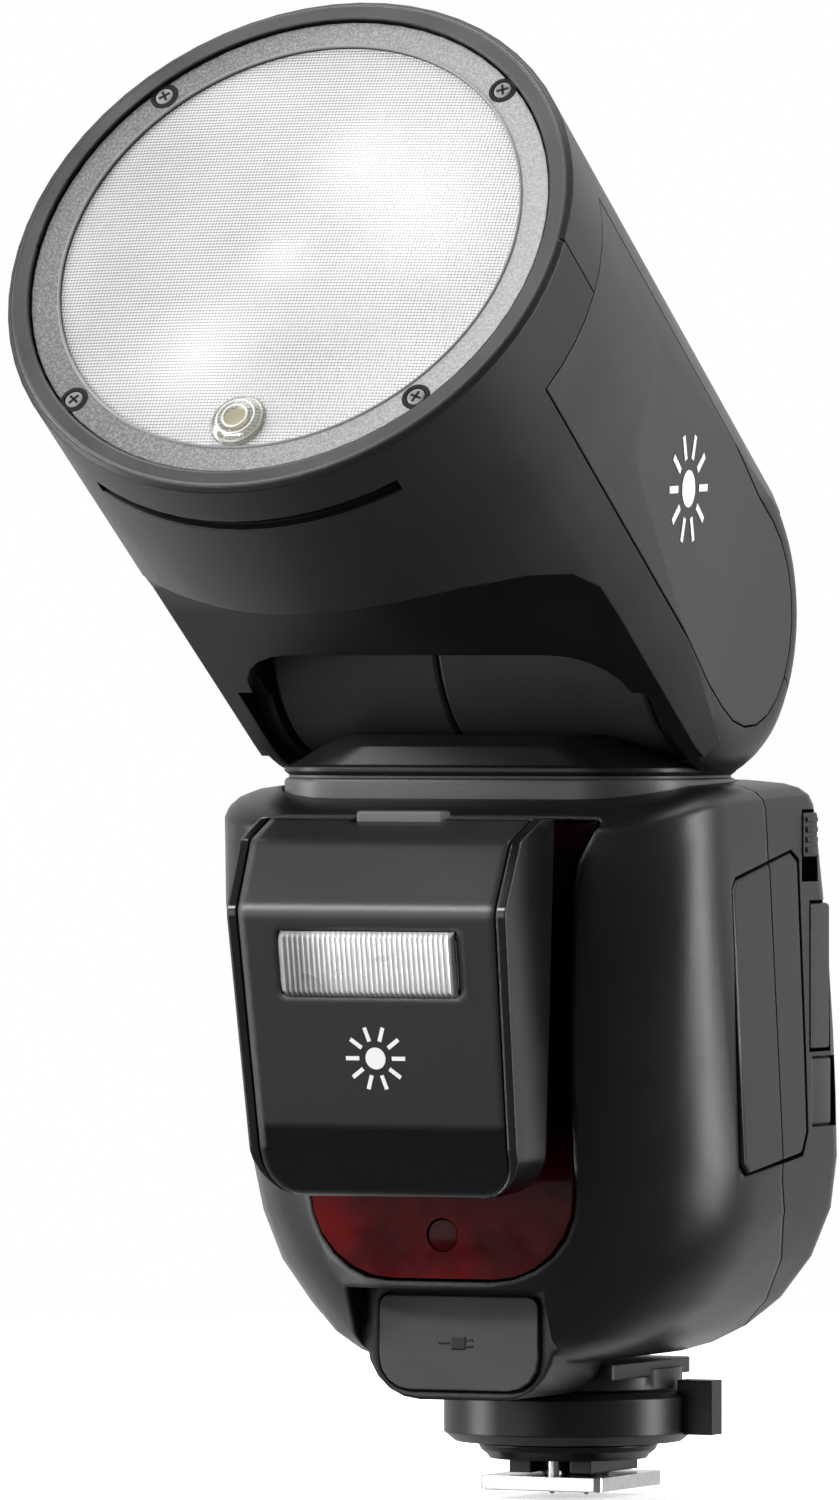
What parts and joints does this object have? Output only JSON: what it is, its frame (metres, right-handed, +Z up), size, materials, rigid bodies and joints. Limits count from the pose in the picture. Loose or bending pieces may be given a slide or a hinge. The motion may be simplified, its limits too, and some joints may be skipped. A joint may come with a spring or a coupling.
{
  "type": "speedlight flash",
  "caption": "Battery-powered camera flash with a round head that pans and tilts, a slide-off front flash module and a hot-shoe foot.",
  "frame": {"origin": "centre of the hot-shoe foot's underside", "axes": "+Z up, -Y to the front of the flash, +X to the battery's side"},
  "size_m": [0.0806, 0.1325, 0.2052],
  "materials": {
    "shell_black": "fine-grained satin black",
    "gloss_black": "polished black",
    "ring_black": "textured black",
    "panel_grey": "satin dark grey",
    "rubber_black": "matt",
    "button_grey": "satin grey",
    "af_red": "polished, dark red, lets infrared through",
    "chrome": "polished",
    "contact_gold": "gold flashed",
    "steel": "plain",
    "reflector_silver": "bright",
    "lens_clear": "clear moulded plastic with fine ridges",
    "tube_glass": "clear",
    "led_yellow": "phosphor yellow",
    "lcd_glass": "polished, dark",
    "board_green": "solder mask",
    "capacitor_sleeve": "shrink sleeve"
  },
  "bodies": {
    "body": {"front_shell": "shell_black", "rear_shell": "shell_black", "af_window": "af_red", "af_sensor_lens": "af_red", "sub_flash_dock": "gloss_black", "power_socket": "gloss_black", "neck_base_plate": "panel_grey", "main_board": "board_green", "main_capacitor": "capacitor_sleeve", "rear_bezel": "panel_grey", "lcd_window": "lcd_glass", "shoe_base_plate": "shell_black", "shoe_stem": "shell_black", "hot_shoe_foot": "chrome", "contact_pin_center": "contact_gold", "contact_pin_1": "contact_gold", "contact_pin_2": "contact_gold", "contact_pin_3": "contact_gold", "contact_pin_4": "contact_gold"},
    "neck": {"neck_swivel": "shell_black", "neck_drum_left": "shell_black", "neck_drum_right": "shell_black", "tilt_axle": "steel"},
    "head": {"head_upper_shell": "shell_black", "head_lower_shell": "shell_black", "side_panel_left": "panel_grey", "side_panel_right": "panel_grey", "front_ring": "ring_black", "front_lens": "lens_clear", "reflector_bowl": "reflector_silver", "flash_tube": "tube_glass", "modelling_lamp_lens": "lens_clear", "modelling_led": "led_yellow", "ring_screw_1": "steel", "ring_screw_2": "steel", "ring_screw_3": "steel", "ring_screw_4": "steel"},
    "sub_flash": {"sub_flash_housing": "gloss_black", "sub_flash_cover": "gloss_black", "sub_flash_window": "lens_clear", "sub_flash_reflector": "reflector_silver", "sub_flash_tube": "tube_glass"},
    "sub_flash_release": {"sub_flash_release": "button_grey"},
    "battery_pack": {"battery_pack": "shell_black"},
    "battery_latch": {"battery_latch": "button_grey"},
    "side_port_cover": {"side_port_cover": "rubber_black"},
    "power_port_flap": {"power_port_flap": "rubber_black"},
    "locking_collar": {"locking_collar": "shell_black"},
    "lock_pin": {"lock_pin": "steel"},
    "control_dial": {"control_dial": "ring_black"},
    "set_button": {"set_button": "button_grey"},
    "mode_button": {"mode_button": "button_grey"},
    "menu_button": {"menu_button": "button_grey"},
    "test_button": {"test_button": "button_grey"},
    "power_switch": {"power_switch": "button_grey"},
    "soft_key_1": {"soft_key_1": "button_grey"},
    "soft_key_2": {"soft_key_2": "button_grey"},
    "soft_key_3": {"soft_key_3": "button_grey"},
    "soft_key_4": {"soft_key_4": "button_grey"}
  },
  "joints": [
    {"name": "head_pan", "type": "hinge", "parent": "body", "child": "neck", "pos_m": [0, -0.0209, 0.0994], "axis": [0, 0, 1], "range_deg": [-150, 180]},
    {"name": "head_tilt", "type": "hinge", "parent": "neck", "child": "head", "pos_m": [0, -0.0209, 0.1218], "axis": [-1, 0, 0], "range_deg": [-34, 86]},
    {"name": "sub_flash_slide_off", "type": "slide", "parent": "body", "child": "sub_flash", "axis": [0, -1, 0], "range_m": [0, 0.03]},
    {"name": "sub_flash_release_press", "type": "slide", "parent": "sub_flash", "child": "sub_flash_release", "axis": [0, 0, -1], "range_m": [0, 0.0012], "stiffness_N_per_m": 400, "springref_m": -0.001},
    {"name": "battery_slide", "type": "slide", "parent": "body", "child": "battery_pack", "axis": [1, 0, 0], "range_m": [0, 0.075]},
    {"name": "battery_latch_slide", "type": "slide", "parent": "body", "child": "battery_latch", "axis": [0, 0, -1], "range_m": [0, 0.0028], "stiffness_N_per_m": 300, "springref_m": -0.001},
    {"name": "side_port_cover_hinge", "type": "hinge", "parent": "body", "child": "side_port_cover", "pos_m": [0.0372, 0.005, 0.0717], "axis": [0, 0, 1], "range_deg": [0, 110]},
    {"name": "power_port_flap_hinge", "type": "hinge", "parent": "body", "child": "power_port_flap", "pos_m": [0, -0.0383, 0.0153], "axis": [1, 0, 0], "range_deg": [0, 110]},
    {"name": "locking_collar_turn", "type": "hinge", "parent": "body", "child": "locking_collar", "pos_m": [0, -0.0009, 0.01], "axis": [0, 0, 1], "range_deg": [0, 50]},
    {"name": "lock_pin_drop", "type": "slide", "parent": "body", "child": "lock_pin", "axis": [0, 0, -1], "range_m": [0, 0.0021]},
    {"name": "control_dial_turn", "type": "hinge", "parent": "body", "child": "control_dial", "pos_m": [0, 0.0134, 0.044], "axis": [0, 0.9999, 0.012], "continuous": true},
    {"name": "set_button_press", "type": "slide", "parent": "body", "child": "set_button", "axis": [0, -0.9999, -0.012], "range_m": [0, 0.0009], "stiffness_N_per_m": 400, "springref_m": -0.001},
    {"name": "mode_button_press", "type": "slide", "parent": "body", "child": "mode_button", "axis": [0, -0.9988, -0.0479], "range_m": [0, 0.0009], "stiffness_N_per_m": 400, "springref_m": -0.001},
    {"name": "menu_button_press", "type": "slide", "parent": "body", "child": "menu_button", "axis": [0, -0.9988, -0.0479], "range_m": [0, 0.0009], "stiffness_N_per_m": 400, "springref_m": -0.001},
    {"name": "test_button_press", "type": "slide", "parent": "body", "child": "test_button", "axis": [0, -1, 0.009], "range_m": [0, 0.0009], "stiffness_N_per_m": 400, "springref_m": -0.001},
    {"name": "soft_key_1_press", "type": "slide", "parent": "body", "child": "soft_key_1", "axis": [0, -0.9945, -0.1044], "range_m": [0, 0.0009], "stiffness_N_per_m": 400, "springref_m": -0.001},
    {"name": "soft_key_2_press", "type": "slide", "parent": "body", "child": "soft_key_2", "axis": [0, -0.9945, -0.1044], "range_m": [0, 0.0009], "stiffness_N_per_m": 400, "springref_m": -0.001},
    {"name": "soft_key_3_press", "type": "slide", "parent": "body", "child": "soft_key_3", "axis": [0, -0.9945, -0.1044], "range_m": [0, 0.0009], "stiffness_N_per_m": 400, "springref_m": -0.001},
    {"name": "soft_key_4_press", "type": "slide", "parent": "body", "child": "soft_key_4", "axis": [0, -0.9945, -0.1044], "range_m": [0, 0.0009], "stiffness_N_per_m": 400, "springref_m": -0.001},
    {"name": "power_switch_slide", "type": "slide", "parent": "body", "child": "power_switch", "axis": [1, 0, 0], "range_m": [0, 0.0036]}
  ],
  "couplings": [
    {"joint": "locking_collar_turn", "follows": "lock_pin_drop", "rad_per_m": 415.5}
  ]
}
